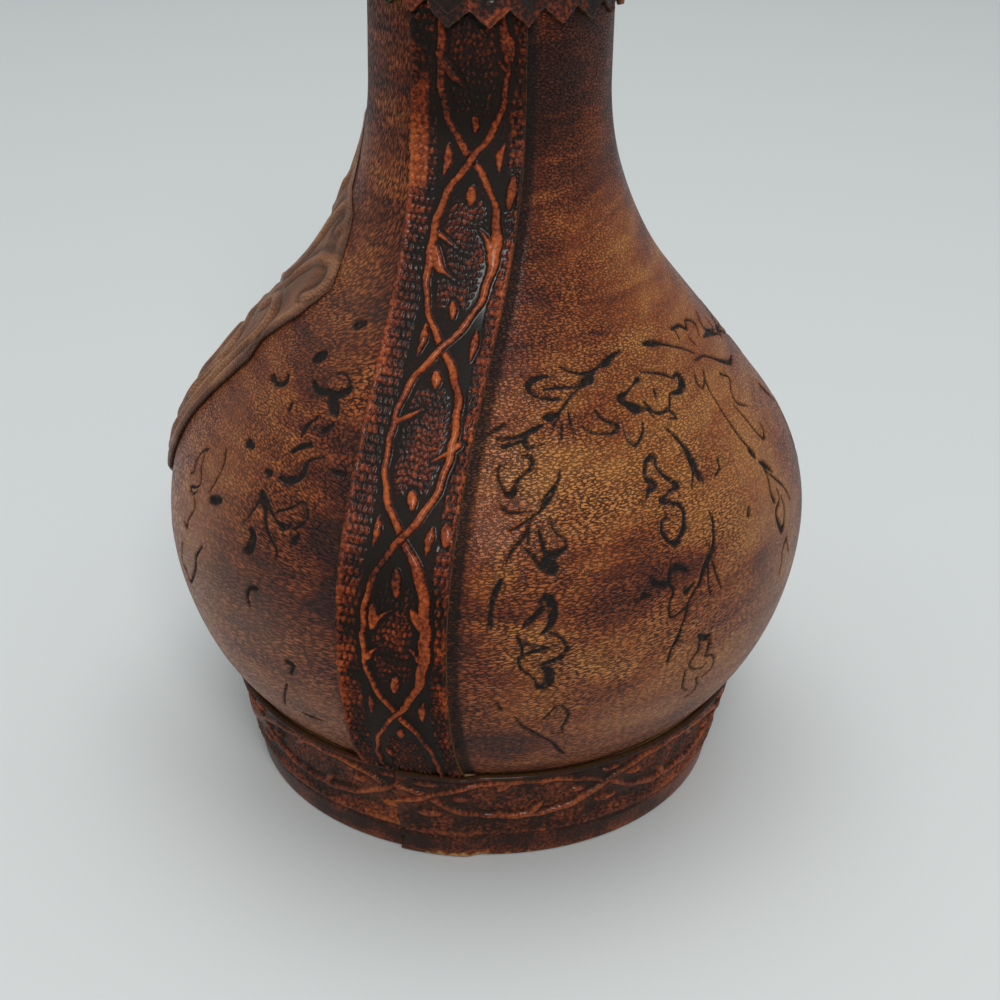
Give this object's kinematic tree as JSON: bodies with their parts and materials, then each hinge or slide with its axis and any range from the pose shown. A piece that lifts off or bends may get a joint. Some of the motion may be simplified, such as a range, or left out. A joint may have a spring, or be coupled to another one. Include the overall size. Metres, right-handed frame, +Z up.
{
  "type": "decanter",
  "caption": "Round-bodied glass decanter wrapped in tooled leather, with embossed straps, a raised crest, a foot band, a pinked collar and a lift-out knob stopper.",
  "frame": {"origin": "centre of the base disc's underside, on the surface that the decanter stands on", "axes": "+Z up through the neck; the straps over the panel seams lie at +X and -X; the raised crest is on the front, at -Y"},
  "size_m": [0.1536, 0.153, 0.263],
  "materials": {
    "panel_leather": "semi-gloss pebbled leather, mottled tan to dark red-brown",
    "embossed_leather": "polished embossed leather, orange-brown relief over near-black ground",
    "sole_leather": "raw leather",
    "glass": "clear blown glass",
    "turned_wood": "plain turned wood",
    "cork": "natural cork"
  },
  "bodies": {
    "decanter": {"glass_bottle": "glass", "foot_ring": "turned_wood", "base_disc": "sole_leather", "foot_band": "embossed_leather", "front_panel": "panel_leather", "back_panel": "panel_leather", "right_strap": "embossed_leather", "left_strap": "embossed_leather", "front_crest": "panel_leather", "neck_collar": "embossed_leather", "lip_ring": "panel_leather"},
    "stopper": {"stopper_cork": "cork", "stopper_core": "turned_wood", "stopper_washer": "panel_leather", "stopper_lower_cover": "panel_leather", "stopper_upper_cover": "panel_leather", "stopper_band": "embossed_leather", "stopper_rosette": "embossed_leather"}
  },
  "joints": [
    {"name": "stopper_lift", "type": "slide", "parent": "decanter", "child": "stopper", "axis": [0, 0, 1], "range_m": [0, 0.042]}
  ]
}
